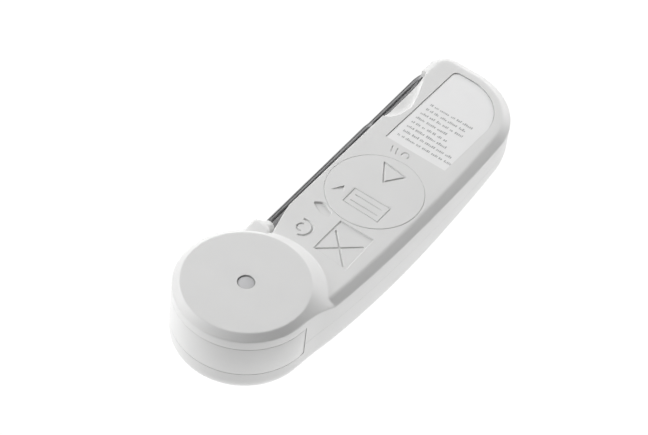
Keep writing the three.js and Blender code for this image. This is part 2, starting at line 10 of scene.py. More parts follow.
import bmesh
import bpy
import numpy as np
from mathutils import Matrix, Vector
from mathutils.geometry import delaunay_2d_cdt


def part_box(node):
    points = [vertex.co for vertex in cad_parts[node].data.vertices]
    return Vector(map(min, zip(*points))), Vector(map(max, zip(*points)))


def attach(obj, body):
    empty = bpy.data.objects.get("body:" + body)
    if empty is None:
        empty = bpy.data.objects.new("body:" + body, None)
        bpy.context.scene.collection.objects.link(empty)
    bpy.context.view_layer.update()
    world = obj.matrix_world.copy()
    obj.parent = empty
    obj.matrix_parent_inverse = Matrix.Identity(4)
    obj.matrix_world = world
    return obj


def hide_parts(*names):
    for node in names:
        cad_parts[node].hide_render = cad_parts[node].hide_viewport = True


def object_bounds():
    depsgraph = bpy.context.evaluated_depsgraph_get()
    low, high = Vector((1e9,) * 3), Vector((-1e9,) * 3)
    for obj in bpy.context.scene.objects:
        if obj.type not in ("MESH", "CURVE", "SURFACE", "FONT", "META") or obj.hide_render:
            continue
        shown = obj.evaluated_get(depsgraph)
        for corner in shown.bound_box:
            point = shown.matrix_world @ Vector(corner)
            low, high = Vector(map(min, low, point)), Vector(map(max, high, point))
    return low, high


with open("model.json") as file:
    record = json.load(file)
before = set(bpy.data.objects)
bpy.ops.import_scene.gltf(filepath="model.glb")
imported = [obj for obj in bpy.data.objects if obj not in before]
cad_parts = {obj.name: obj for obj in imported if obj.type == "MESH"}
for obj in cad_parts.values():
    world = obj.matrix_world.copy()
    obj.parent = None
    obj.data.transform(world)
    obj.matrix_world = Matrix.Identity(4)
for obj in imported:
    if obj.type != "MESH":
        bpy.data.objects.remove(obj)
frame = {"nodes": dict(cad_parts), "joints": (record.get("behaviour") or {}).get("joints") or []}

CAD_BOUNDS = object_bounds()
MM = 0.001


# ------------------------------------------------------------------ sizes taken from the frame
def box_mm(node):
    low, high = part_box(node)
    return np.array(low) / MM, np.array(high) / MM


def joint(name):
    return next(j for j in frame["joints"] if j["name"] == name)


BACK_HIGH = box_mm("back_shell")[1]
SHAFT_LOW, SHAFT_HIGH = box_mm("probe_shaft")
TIP_LOW, TIP_HIGH = box_mm("probe_tip")
CARRIER_LOW, CARRIER_HIGH = box_mm("probe_carrier")
COVER_LOW, COVER_HIGH = box_mm("battery_cover")
LABEL_LOW, LABEL_HIGH = box_mm("rating_label")
WINDOW_LOW, WINDOW_HIGH = box_mm("display_window")
LCD_LOW, LCD_HIGH = box_mm("lcd_glass")
PIN_LOW, PIN_HIGH = box_mm("pivot_pin")

TOP_Z = BACK_HIGH[2]
BACK_Z = COVER_HIGH[2]
HUB_R = -CARRIER_LOW[0]
END_X = BACK_HIGH[0]
PROBE_Z = (SHAFT_LOW[2] + SHAFT_HIGH[2]) / 2
SHAFT_R = (SHAFT_HIGH[2] - SHAFT_LOW[2]) / 2
TIP_R = (TIP_HIGH[2] - TIP_LOW[2]) / 2
STEP_X = SHAFT_HIGH[0]
CARRIER_Z = (CARRIER_LOW[2], CARRIER_HIGH[2])
COVER_X, COVER_Y = (v / MM for v in joint("battery_cover_twist")["pos_m"][:2])
COVER_R = 11.6

# ------------------------------------------------------------------ other sizes, millimetres
GAP = 0.2
POCKET_R = HUB_R + 0.1
DRUM_R = HUB_R + 0.03
POCKET_Z = (CARRIER_Z[0] - GAP, CARRIER_Z[1] + GAP)
DRUM_GAP = 0.05
SEAM_Z = 9.6
SEAM_GAP = 0.04
WALL = 1.6
DISC_R = 14.8
CONE_SLOPE = 0.76
EDGE_IN = 2.0
EDGE_DROP = 1.4
FRONT_ROUND = 4.4
FRONT_ROUND_GROWTH = 4.4
FRONT_ROOMS = ((6.0, WALL), (3.2, 3.0), (WALL, 4.6))
END_R = 17.8
CORNER_R = 4.8
SIDE_Y = 11.3
GRIP_FROM = -94
WAIST = (6.9, -17.15)
WAIST_ANGLE = -8.5
GRIP_TO = -86
BLEND_AT = 62
BLEND_X = 24
SLOT_END_X = 88.6
SLOT_WALL = ((17.5, 5.95), (23.5, 7.5), (27.0, 8.28), (SLOT_END_X, 9.25))
ROOF_X = 84.3
ROOF_Z = 12.9
PROBE_START = (24.0, 10.38)
PROBE_TILT = 1.3
LEDGE_Z = 8.8
LEDGE_FROM = 26.0
NECK_END_X = 22.8
LABEL_DEPTH = 0.34


# ------------------------------------------------------------------ plan curves
def polar(r, degrees, x=0.0, y=0.0):
    a = math.radians(degrees)
    return np.array([x + r * math.cos(a), y + r * math.sin(a)])


def arc(x, y, r, a0, a1, step=0.4):
    count = max(3, int(abs(math.radians(a1 - a0)) * r / step) + 1)
    a = np.radians(np.linspace(a0, a1, count))
    return np.stack([x + r * np.cos(a), y + r * np.sin(a)], 1)


def bezier(p0, p1, p2, p3, count=120):
    t = np.linspace(0, 1, count)[:, None]
    return (1 - t) ** 3 * p0 + 3 * (1 - t) ** 2 * t * p1 + 3 * (1 - t) * t * t * p2 + t ** 3 * p3


def line(p0, p1, step=0.6):
    p0, p1 = np.array(p0, float), np.array(p1, float)
    count = max(2, int(np.hypot(*(p1 - p0)) / step) + 1)
    return p0 + (p1 - p0) * np.linspace(0, 1, count)[:, None]


def without_repeats(points, nearest=0.02):
    """A closed curve without points that nearly repeat the one before."""
    points = np.asarray(points, float)
    gap = np.hypot(*(points - np.roll(points, 1, 0)).T)
    return points[gap > nearest]


def lengths_along(points):
    """A closed curve with its start repeated, and how far along it each point lies."""
    ring = np.vstack([points, points[:1]])
    return ring, np.concatenate([[0], np.cumsum(np.hypot(*np.diff(ring, axis=0).T))])


def even_curve(points, count):
    """The same closed curve with count evenly spaced points."""
    ring, length = lengths_along(points)
    at = np.linspace(0, length[-1], count, endpoint=False)
    return np.stack([np.interp(at, length, ring[:, k]) for k in (0, 1)], 1)


def resample(points, step):
    """The same closed curve with evenly spaced points, about a step apart."""
    length = lengths_along(points)[1][-1]
    return even_curve(points, int(length / step) + 1)


END_CENTRE = np.array([END_X - END_R, 0.2])


def grip_side():
    start, end = polar(HUB_R, GRIP_FROM), polar(END_R, GRIP_TO, *END_CENTRE)
    waist = np.array(WAIST)
    away = polar(1, WAIST_ANGLE)
    near = bezier(start, start + polar(2.4, GRIP_FROM + 90), waist - 2.4 * away, waist, 30)
    return np.vstack([near, bezier(waist, waist + 14 * away, end - polar(22, GRIP_TO + 90), end)])


def far_end():
    corner = (END_X - CORNER_R, SIDE_Y - CORNER_R)
    return np.vstack([
        arc(*END_CENTRE, END_R, GRIP_TO, 0),
        line((END_X, END_CENTRE[1]), (END_X, corner[1])),
        arc(*corner, CORNER_R, 0, 90, 0.25),
    ])


def outline():
    """The whole housing seen from above, counter-clockwise."""
    blend = polar(HUB_R, BLEND_AT)
    straight = line((END_X - CORNER_R, SIDE_Y), (BLEND_X, SIDE_Y))
    neck_side = bezier(
        np.array([BLEND_X, SIDE_Y]), np.array([BLEND_X - 6, SIDE_Y]),
        blend + polar(5, BLEND_AT - 90), blend, 40,
    )
    hub = arc(0, 0, HUB_R, BLEND_AT, 360 + GRIP_FROM)
    whole = np.vstack([grip_side(), far_end(), straight, neck_side, hub])
    return resample(without_repeats(whole), 0.45)


def back_outline():
    """The back shell seen from above: the housing without the probe's open slot, but with its whole hub."""
    x0, y0 = SLOT_WALL[0]
    x1, y1 = ROOF_X, np.interp(ROOF_X, *np.transpose(SLOT_WALL))
    wall_angle = math.degrees(math.asin(y0 / HUB_R))
    corner = 1.2
    hub = arc(0, 0, HUB_R, wall_angle, 360 + GRIP_FROM)
    roof_edge = line((END_X - CORNER_R, SIDE_Y), (x1 + 0.1, SIDE_Y))
    wall = [line(b, a) for a, b in zip(SLOT_WALL[:-1], SLOT_WALL[1:])][::-1]
    wall[0] = wall[0][wall[0][:, 0] < x1 - corner]
    return without_repeats(np.vstack([
        hub, grip_side(), far_end(), roof_edge,
        arc(x1 - corner, y1 + corner, corner, 0, -90, 0.2), *wall,
        line((x0, y0), (HUB_R * math.cos(math.radians(wall_angle)), y0)),
    ]))


def inset_curve(points, inset):
    along = np.roll(points, -1, 0) - np.roll(points, 1, 0)
    along /= np.hypot(*along.T)[:, None]
    return points + np.stack([-along[:, 1], along[:, 0]], 1) * inset


OUTLINE = outline()


# ------------------------------------------------------------------ plan measurements
def distance_to_curve(p, curve):
    a, b = curve, np.roll(curve, -1, 0)
    best = np.full(len(p), 1e9)
    for start in range(0, len(p), 4000):
        q = p[start:start + 4000, None, :]
        d = b - a
        t = np.clip(((q - a) * d).sum(2) / (d * d).sum(1), 0, 1)
        gap = q - (a + t[..., None] * d)
        best[start:start + 4000] = np.sqrt((gap ** 2).sum(2)).min(1)
    return best


def inside_curve(p, curve):
    inside = np.zeros(len(p), bool)
    nxt = np.roll(curve, -1, 0)
    for (xa, ya), (xb, yb) in zip(curve, nxt):
        if ya == yb:
            continue
        crosses = (ya > p[:, 1]) != (yb > p[:, 1])
        inside ^= crosses & (p[:, 0] < (xb - xa) * (p[:, 1] - ya) / (yb - ya) + xa)
    return inside


def signed_distance(p, curve):
    d = distance_to_curve(p, curve)
    return np.where(inside_curve(p, curve), -d, d)


def smoothstep(t):
    t = np.clip(t, 0, 1)
    return t * t * (3 - 2 * t)


def soft_max(a, b, width):
    h = np.clip(0.5 + 0.5 * (a - b) / width, 0, 1)
    return b + (a - b) * h + width * h * (1 - h) * 0.5


# ------------------------------------------------------------------ engraved marks
class Mark:
    """A sunk mark: a closed outline in plan with steep walls."""

    def __init__(self, curve, depth, wall=0.14):
        curve = without_repeats(curve, 0.02)
        x, y = curve.T
        area = (x * np.roll(y, -1) - np.roll(x, -1) * y).sum() / 2
        self.curve = curve if area > 0 else curve[::-1]
        self.depth = depth
        self.wall = wall

    def contours(self):
        return [self.curve, inset_curve_sharp(self.curve, self.wall)]

    def sink(self, p):
        near = np.all((p > self.curve.min(0) - 0.5) & (p < self.curve.max(0) + 0.5), 1)
        out = np.zeros(len(p))
        if near.any():
            out[near] = self.depth * np.clip(-signed_distance(p[near], self.curve) / self.wall, 0, 1)
        return out


def inset_curve_sharp(points, inset):
    """Moves each side of a counter-clockwise closed curve inwards, keeping its corners sharp."""
    before = points - np.roll(points, 1, 0)
    after = np.roll(points, -1, 0) - points
    n0 = np.stack([-before[:, 1], before[:, 0]], 1) / np.hypot(*before.T)[:, None]
    n1 = np.stack([-after[:, 1], after[:, 0]], 1) / np.hypot(*after.T)[:, None]
    middle = n0 + n1
    return points + middle * (inset / np.maximum(0.3, (middle * n1).sum(1)))[:, None]


def stroke(p0, p1, width):
    """A straight groove with round ends."""
    p0, p1 = np.array(p0, float), np.array(p1, float)
    angle = math.degrees(math.atan2(*(p1 - p0)[::-1]))
    r = width / 2
    return np.vstack([
        arc(*p1, r, angle - 90, angle + 90, r / 2.5),
        arc(*p0, r, angle + 90, angle + 270, r / 2.5),
    ])


def closed_strokes(points, width):
    """A groove along each side of a polygon."""
    return [stroke(a, b, width) for a, b in zip(points, points[1:] + points[:1])]


def bent_stroke(x, y, r, a0, a1, width):
    """A groove along an arc."""
    outer = arc(x, y, r + width / 2, a0, a1, 0.15)
    inner = arc(x, y, r - width / 2, a1, a0, 0.15)
    end0 = arc(*polar(r, a1, x, y), width / 2, a1, a1 + 180, 0.06)
    end1 = arc(*polar(r, a0, x, y), width / 2, a0 + 180, a0 + 360, 0.06)
    return np.vstack([outer, end0[1:-1], inner, end1[1:-1]])


def rectangle(x0, x1, y0, y1):
    return np.array([(x0, y0), (x1, y0), (x1, y1), (x0, y1)], float)


def rounded_rectangle(x0, x1, y0, y1, r):
    return np.vstack([
        arc(x1 - r, y0 + r, r, -90, 0, 0.2), arc(x1 - r, y1 - r, r, 0, 90, 0.2),
        arc(x0 + r, y1 - r, r, 90, 180, 0.2), arc(x0 + r, y0 + r, r, 180, 270, 0.2),
    ])


def housing_marks():
    """Plain symbols: a crossed square, a ring with an arc in it, a rounded notch, an arc and two dashes."""
    marks = [Mark(np.array([(19.4, -13.5), (31.0, -12.9), (30.8, -3.6), (20.0, -3.8)]), 0.24, 0.2)]
    for ends in (((20.1, -12.2), (27.6, -4.7)), ((20.4, -4.4), (27.6, -12.3))):
        marks.append(Mark(stroke(*ends, 0.55), 0.24))
    marks.append(Mark(bent_stroke(23.3, 1.9, 2.5, -160, 20, 0.7), 0.34, 0.2))
    marks.append(Mark(bent_stroke(23.3, 1.9, 1.1, 20, 200, 0.6), 0.3, 0.2))
    notch = [(31.3, 4.8), (32.9, 2.7), (31.6, -0.7), (29.7, -1.1), (29.5, 1.4)]
    marks.append(Mark(rounded_notch(notch), 0.42, 0.2))
    marks.append(Mark(bent_stroke(57.2, -3.0, 0.9, -120, 120, 0.4), 0.16))
    for y in (-0.9, 0.5):
        marks.append(Mark(stroke((56.2, y), (57.9, y + 0.6), 0.4), 0.16))
    return marks


def rounded_notch(corners):
    """A closed polygon with its corners rounded off by cutting them again and again."""
    points = np.array(corners, float)
    for cut in (0.14, 0.22, 0.25):
        after = np.roll(points, -1, 0)
        points = np.stack([points + cut * (after - points), after - cut * (after - points)], 1).reshape(-1, 2)
    return points


def cover_marks():
    """Plain symbols: a framed pair of bars, a triangle, and a small index wedge."""
    marks = []
    for curve in closed_strokes([(36.1, -0.4), (41.0, -0.3), (41.1, -10.2), (35.8, -10.4)], 0.36):
        marks.append(Mark(curve, 0.16))
    for x in (37.4, 39.4):
        marks.append(Mark(stroke((x, -1.6), (x, -9.0), 0.4), 0.16))
    for curve in closed_strokes([(52.2, -0.6), (46.9, -4.0), (51.5, -7.1)], 0.55):
        marks.append(Mark(curve, 0.26))
    marks.append(Mark(np.array([(38.7, 1.3), (40.2, 2.2), (37.1, 3.9)]), 0.34))
    return marks


# ------------------------------------------------------------------ the back's height
LABEL_R = 12.0


def label_curve(inset=0.0):
    """The label's outline; a negative inset makes it larger."""
    x0, y0 = LABEL_LOW[:2] + inset
    x1, y1 = LABEL_HIGH[:2] - inset
    corner, big = 1.5 - inset, LABEL_R - inset
    return without_repeats(np.vstack([
        line((x0, y0), (x1 - big, y0)), arc(x1 - big, y0 + big, big, -90, 0),
        line((x1, y0 + big), (x1, y1 - corner)), arc(x1 - corner, y1 - corner, corner, 0, 90, 0.2),
        line((x1 - corner, y1), (x0, y1)), line((x0, y1), (x0, y0)),
    ]))


# The finger recess: a bowl with a flat middle, round towards the hub and drawn out the other way.
SCOOP = {"x": 71.0, "y": 9.3, "near": 6.6, "far": 11.0, "across": 4.0, "deep": 1.35}
SCOOP_FAR_POWER = 1.25
SCOOP_STEEPNESS = 5
HOUSING_MARKS = housing_marks()
LABEL_RECESS = Mark(label_curve(-0.08), LABEL_DEPTH, 0.05)


def scoop_curve(s, count=96):
    """A line of the finger recess at s times its size."""
    a = np.linspace(0, 2 * math.pi, count, endpoint=False)
    c, d = np.cos(a), np.sin(a)
    power = np.where(c < 0, 1.0, 2 / SCOOP_FAR_POWER)
    x = np.where(c < 0, SCOOP["near"] * c, SCOOP["far"] * np.abs(c) ** power)
    y = SCOOP["across"] * np.sign(d) * np.abs(d) ** power
    return np.stack([SCOOP["x"] + s * x, SCOOP["y"] + s * y], 1)


def scoop_reach(p):
    """0 in the middle of the finger recess, and 1 on its edge."""
    x, y = p[:, 0] - SCOOP["x"], np.abs(p[:, 1] - SCOOP["y"]) / SCOOP["across"]
    near = np.hypot(x / SCOOP["near"], y)
    far = (np.abs(x / SCOOP["far"]) ** SCOOP_FAR_POWER + y ** SCOOP_FAR_POWER) ** (1 / SCOOP_FAR_POWER)
    return np.where(x < 0, near, far)


def edge_fall(d):
    """How far the sloped edge lies under the flat back, at distance d from the outline."""
    soft = 0.5
    x = EDGE_IN - d
    ramp = np.where(x < -soft, 0, np.where(x > soft, x, (x + soft) ** 2 / (4 * soft)))
    return ramp * EDGE_DROP / EDGE_IN


def rim_fall(d, r):
    """The small rounding where the top meets a wall."""
    t = np.clip(1 - d / r, 0, 1)
    return r * (1 - np.sqrt(np.clip(1 - t * t, 0, 1)))


def back_height(p):
    r = np.hypot(*p.T)
    d = distance_to_curve(p, OUTLINE)
    soft = 0.25
    x = r - DISC_R
    cone = TOP_Z - CONE_SLOPE * np.where(x < -soft, 0, np.where(x > soft, x, (x + soft) ** 2 / (4 * soft)))
    slab = BACK_Z - edge_fall(d)
    z = soft_max(cone, slab, 0.2)
    z = z - SCOOP["deep"] * np.clip(1 - scoop_reach(p) ** SCOOP_STEEPNESS, 0, 1)
    sunk = LABEL_RECESS.sink(p)
    deepest = np.zeros(len(p))
    for i, mark in enumerate(HOUSING_MARKS):
        sunk_here = mark.sink(p)
        if i == 0:
            sunk = sunk + sunk_here
        else:
            deepest = np.maximum(deepest, sunk_here)
    return z - sunk - deepest


# ------------------------------------------------------------------ meshes
def link(obj):
    bpy.context.scene.collection.objects.link(obj)
    return obj


def finish_mesh(mesh, sharp=32):
    mesh.shade_smooth()
    mesh.set_sharp_from_angle(angle=math.radians(sharp))


def make(name, verts, faces, material=None, sharp=32):
    mesh = bpy.data.meshes.new(name)
    mesh.from_pydata((np.asarray(verts, float) * MM).tolist(), [], [list(map(int, f)) for f in faces])
    bm = bmesh.new()
    bm.from_mesh(mesh)
    bmesh.ops.recalc_face_normals(bm, faces=bm.faces)
    bm.to_mesh(mesh)
    bm.free()
    finish_mesh(mesh, sharp)
    obj = link(bpy.data.objects.new(name, mesh))
    if material:
        obj.data.materials.append(material)
    return obj


def plan_triangles(loops, curves, points):
    """Triangles that fill the loops (the first is the rim, the rest are holes), and follow the curves."""
    verts, edges = [], []
    for curve, closed in [(c, True) for c in loops] + curves:
        start = len(verts)
        verts.extend(map(tuple, curve))
        count = len(curve)
        edges.extend((start + i, start + (i + 1) % count) for i in range(count if closed else count - 1))
    taken = np.array(verts)
    free = points[distance_to_points(points, taken) > 0.22]
    verts.extend(map(tuple, free))
    out = delaunay_2d_cdt([Vector(v) for v in verts], edges, [], 0, 1e-5)
    xy = np.array([tuple(v) for v in out[0]])
    tris = np.array([f for f in out[2] if len(f) == 3])
    middle = xy[tris].mean(1)
    keep = inside_curve(middle, loops[0])
    for hole in loops[1:]:
        keep &= ~inside_curve(middle, hole)
    tris = tris[keep]
    used = np.unique(tris)
    index = np.full(len(xy), -1)
    index[used] = np.arange(len(used))
    return xy[used], index[tris]


def distance_to_points(p, q):
    best = np.full(len(p), 1e9)
    for start in range(0, len(p), 2000):
        gap = p[start:start + 2000, None, :] - q
        best[start:start + 2000] = np.sqrt((gap ** 2).sum(2)).min(1)
    return best


def slab_mesh(name, xy, tris, top, bottom, material=None, sharp=32):
    """A closed solid between two heights over one plan triangulation."""
    n = len(xy)
    verts = np.vstack([np.column_stack([xy, top]), np.column_stack([xy, bottom])])
    sides = {}
    for t in tris:
        for a, b in ((t[0], t[1]), (t[1], t[2]), (t[2], t[0])):
            if (b, a) in sides:
                del sides[(b, a)]
            else:
                sides[(a, b)] = True
    faces = [tuple(t) for t in tris] + [tuple(t[::-1] + n) for t in tris]
    faces += [(a, a + n, b + n, b) for a, b in sides]
    return make(name, verts, faces, material, sharp)


def inside_runs(curve, rim, holes=()):
    """Open stretches of a closed curve that lie inside the rim and outside the holes."""
    keep = inside_curve(curve, rim)
    for hole in holes:
        keep &= ~inside_curve(curve, hole)
    runs, run = [], []
    for point, kept in zip(curve, keep):
        if kept:
            run.append(point)
        elif len(run) > 1:
            runs.append((np.array(run), False))
            run = []
        else:
            run = []
    if len(run) > 1:
        runs.append((np.array(run), False))
    return runs


def grid_points(rim, step, margin=0.1, box=None):
    low, high = (rim.min(0), rim.max(0)) if box is None else (np.array(box[:2]), np.array(box[2:]))
    xs = np.arange(low[0], high[0], step)
    ys = np.arange(low[1], high[1], step * 0.87)
    grid = np.array([(x + (j % 2) * step / 2, y) for j, y in enumerate(ys) for x in xs])
    grid = grid[inside_curve(grid, rim)]
    return grid[distance_to_curve(grid, rim) > margin]


def spin(name, profile, segments=192, material=None, x=0.0, y=0.0, sharp=32):
    """A solid of revolution about +Z from a closed profile of (radius, z)."""
    a = np.linspace(0, 2 * math.pi, segments, endpoint=False)
    verts, rows = [], []
    for r, z in profile:
        if r < 1e-6:
            rows.append([len(verts)])
            verts.append((x, y, z))
        else:
            rows.append(list(range(len(verts), len(verts) + segments)))
            verts.extend(zip(x + r * np.cos(a), y + r * np.sin(a), np.full(segments, z)))
    faces = []
    for i in range(len(rows)):
        lower, upper = rows[i], rows[(i + 1) % len(rows)]
        for k in range(segments):
            m = (k + 1) % segments
            corners = ((lower, k), (lower, m), (upper, m), (upper, k))
            quad = list(dict.fromkeys(row[at % len(row)] for row, at in corners))
            if len(quad) > 2:
                faces.append(quad)
    return make(name, verts, faces, material, sharp)


def loft(name, rings, material=None, sharp=32):
    """A closed solid through rings of equal point count."""
    count = len(rings[0])
    verts = [p for ring in rings for p in ring]
    faces = [tuple(range(count))[::-1], tuple(range((len(rings) - 1) * count, len(rings) * count))]
    for i in range(len(rings) - 1):
        for k in range(count):
            a, b = i * count + k, i * count + (k + 1) % count
            faces.append((a, b, b + count, a + count))
    return make(name, verts, faces, material, sharp)


def box_solid(name, x0, x1, y0, y1, z0, z1):
    ring = rectangle(x0, x1, y0, y1)
    return loft(name, [[(x, y, z) for x, y in ring] for z in (z0, z1)])


def prism(name, curve, z0, z1):
    return loft(name, [[(x, y, z) for x, y in curve] for z in (z0, z1)])


def boolean(obj, tools, operation="DIFFERENCE", sharp=32):
    """Cuts or joins obj with other solids, which are then removed."""
    for tool in tools:
        modifier = obj.modifiers.new(operation.lower(), "BOOLEAN")
        modifier.operation = operation
        modifier.solver = "EXACT"
        modifier.object = tool
    bpy.context.view_layer.update()
    evaluated = obj.evaluated_get(bpy.context.evaluated_depsgraph_get())
    result = bpy.data.meshes.new_from_object(evaluated)
    obj.modifiers.clear()
    materials = list(obj.data.materials)
    obj.data = result
    obj.data.name = obj.name
    obj.data.materials.clear()
    for material in materials:
        obj.data.materials.append(material)
    for polygon in obj.data.polygons:
        polygon.material_index = 0
    bm = bmesh.new()
    bm.from_mesh(obj.data)
    bmesh.ops.remove_doubles(bm, verts=bm.verts, dist=1e-7)
    bmesh.ops.dissolve_degenerate(bm, edges=bm.edges, dist=1e-7)
    bm.to_mesh(obj.data)
    bm.free()
    finish_mesh(obj.data, sharp)
    for tool in tools:
        bpy.data.objects.remove(tool)
    return obj


def circle(x, y, r, step=0.3):
    return arc(x, y, r, 0, 360, step)[:-1]


def insets(curve, distances):
    return [inset_curve(curve, d) for d in distances]


ROUNDING_STEPS = (0.03, 0.12, 0.3, 0.6, 1.0, 1.4)


# ------------------------------------------------------------------ housing
COVER_HOLE_R = COVER_R + 0.12
COVER_RISE = 0.06
PIN_HOLE_R = 2.04
RIM_R = 0.28
HOLE_R = 0.07
COVER_EDGE_R = 0.1


def back_shell(material):
    rim = back_outline()
    cover_hole = circle(COVER_X, COVER_Y, COVER_HOLE_R, 0.35)
    pin_hole = circle(0, 0, PIN_HOLE_R, 0.2)
    holes = [cover_hole, pin_hole]
    curves = []
    for curve in insets(rim, [RIM_R * s for s in ROUNDING_STEPS]):
        curves += inside_runs(curve, rim)
    for curve in insets(OUTLINE, (EDGE_IN - 0.5, EDGE_IN - 0.17, EDGE_IN + 0.17, EDGE_IN + 0.5)):
        curves += inside_runs(curve, rim, holes)
    for grow in ROUNDING_STEPS:
        curves.append((circle(COVER_X, COVER_Y, COVER_HOLE_R + HOLE_R * grow, 0.35), True))
        curves.append((circle(0, 0, PIN_HOLE_R + HOLE_R * grow, 0.2), True))
    for r in DISC_R + np.array([-0.35, -0.22, -0.1, 0, 0.1, 0.22, 0.35]):
        curves += inside_runs(circle(0, 0, r, 0.35), rim)
    foot = DISC_R + (TOP_Z - BACK_Z) / CONE_SLOPE
    for r in foot + np.array([-0.7, -0.45, -0.22, 0, 0.22, 0.45, 0.7]):
        curves += inside_runs(circle(0, 0, r, 0.35), rim)
    for size in (1.0, 0.96, 0.9, 0.84, 0.76, 0.66, 0.54, 0.4, 0.2):
        curves += inside_runs(scoop_curve(size), rim)
    for mark in HOUSING_MARKS + [LABEL_RECESS]:
        curves += [(c, True) for c in mark.contours()]
    points = np.vstack([
        grid_points(rim, 1.1),
        grid_points(rim, 0.5, box=(-17, -18.5, 22, 17)),
        grid_points(rim, 0.3, box=(5, -18.5, 15, -13)),
    ])
    xy, tris = plan_triangles([rim] + holes, curves, points)
    top = back_height(xy)
    top -= rim_fall(distance_to_curve(xy, rim), RIM_R)
    top -= rim_fall(distance_to_curve(xy, cover_hole), HOLE_R)
    top -= rim_fall(distance_to_curve(xy, pin_hole), HOLE_R)
    shell = slab_mesh("back_case", xy, tris, top, np.full(len(xy), SEAM_Z + SEAM_GAP / 2), material)
    under_roof = boolean(prism("under_roof", probe_side(0, SLOT_END_X), SEAM_Z - 1, ROOF_Z), [
        box_solid("past_roof_edge", ROOF_X - 2, SLOT_END_X + 1, 0, 40, SEAM_Z - 2, ROOF_Z + 1),
    ], "INTERSECT")
    return boolean(shell, [drum_space(), room(SEAM_Z - 1, BACK_Z - WALL), under_roof])


def drum_space():
    z0, z1 = POCKET_Z
    return spin("drum_space", [(0, z0), (POCKET_R, z0), (POCKET_R, z1), (0, z1)], 256)


def room(z0, z1, inset=WALL):
    """The hollow of the body, between the drum's wall, the slot's wall and the outer walls."""
    hollow = prism("room", resample(inset_curve(OUTLINE, inset), 1.5), z0, z1)
    drum_wall = POCKET_R + WALL
    return boolean(hollow, [
        spin("drum_wall", [(0, z0 - 1), (drum_wall, z0 - 1), (drum_wall, z1 + 1), (0, z1 + 1)], 96),
        box_solid("hub_side", -30, 4, -30, 30, z0 - 1, z1 + 1),
        prism("slot_side", probe_side(WALL), z0 - 1, z1 + 1),
    ])


def probe_side(inset=0.0, end_x=100.0):
    """Everything on the probe's side of the slot's walls."""
    wall = [(x, y - inset) for x, y in SLOT_WALL[:-1]]
    last = SLOT_WALL[-1][1] - inset
    return np.array([(-30, wall[0][1])] + wall + [(end_x, last), (end_x, 30), (-30, 30)])


def front_round(x):
    """Radius of the front face's edge, which grows towards the far end."""
    return FRONT_ROUND + FRONT_ROUND_GROWTH * smoothstep((x - 30) / 60)


def front_height(p):
    """Height of the front's outer surface, which is rounded all round its edge."""
    r = front_round(p[:, 0])
    t = np.clip(1 - distance_to_curve(p, OUTLINE) / r, 0, 1)
    return r * (1 - np.sqrt(np.clip(1 - t * t, 0, 1)))


WINDOW_R = 2.5


def window_curve(grow=0.0):
    (x0, y0), (x1, y1) = WINDOW_LOW[:2] - grow, WINDOW_HIGH[:2] + grow
    return without_repeats(rounded_rectangle(x0, x1, y0, y1, WINDOW_R + grow))


def front_shell(material):
    hole = window_curve(0.08)
    r = front_round(OUTLINE[:, :1])
    curves = [(inset_curve(OUTLINE, r * (1 - math.cos(math.radians(a)))), True) for a in range(6, 91, 6)]
    curves += [(window_curve(0.08 + HOLE_R * s), True) for s in ROUNDING_STEPS]
    points = grid_points(OUTLINE, 1.6)
    xy, tris = plan_triangles([OUTLINE, hole], curves, points)
    low = front_height(xy) + rim_fall(distance_to_curve(xy, hole), HOLE_R)
    shell = slab_mesh("front_case", xy, tris, np.full(len(xy), SEAM_Z - SEAM_GAP / 2), low, material)
    over_neck = box_solid("over_neck", 2, LEDGE_FROM, -40, 40, POCKET_Z[0], SEAM_Z + 2)
    over_ledge = box_solid("over_ledge", LEDGE_FROM - 1, SLOT_END_X, -40, 40, LEDGE_Z, SEAM_Z + 2)
    slot = boolean(prism("slot", probe_side(0, SLOT_END_X), -1, SEAM_Z + 3), [
        boolean(over_neck, [over_ledge], "UNION"),
    ], "INTERSECT")
    rooms = [room(z, SEAM_Z + 1, inset) for z, inset in FRONT_ROOMS]
    return boolean(shell, [drum_space(), slot] + rooms)


SKIRT_R = (10.15, 10.75)
LUG_R = (10.6, 11.95)
LUG_HALF_ANGLE = 12
LUG_HEIGHT = 0.8


def battery_cover(material):
    rim = circle(COVER_X, COVER_Y, COVER_HOLE_R - 0.03, 0.35)
    marks = cover_marks()
    curves = [(circle(COVER_X, COVER_Y, COVER_R - COVER_EDGE_R * s, 0.35), True) for s in ROUNDING_STEPS]
    for mark in marks:
        curves += [(c, True) for c in mark.contours()]
    xy, tris = plan_triangles([rim], curves, grid_points(rim, 1.0))
    sunk = np.max([mark.sink(xy) for mark in marks], axis=0)
    top = BACK_Z + COVER_RISE - sunk - rim_fall(distance_to_curve(xy, rim), COVER_EDGE_R)
    disc = slab_mesh("battery_lid", xy, tris, top, np.full(len(xy), BACK_Z - 1.3), material)
    z0, z1 = COVER_LOW[2], BACK_Z - 1.2
    inner, outer = SKIRT_R
    skirt = spin("skirt", [(inner, z0), (outer, z0), (outer, z1), (inner, z1)], 96, None, COVER_X, COVER_Y)
    lugs = []
    for middle in (20, 140, 260):
        curve = np.vstack([
            arc(COVER_X, COVER_Y, LUG_R[1], middle - LUG_HALF_ANGLE, middle + LUG_HALF_ANGLE, 0.5),
            arc(COVER_X, COVER_Y, LUG_R[0], middle + LUG_HALF_ANGLE, middle - LUG_HALF_ANGLE, 0.5),
        ])
        lugs.append(prism(f"lug_{middle}", curve, z0, z0 + LUG_HEIGHT))
    return boolean(disc, [skirt] + lugs, "UNION")


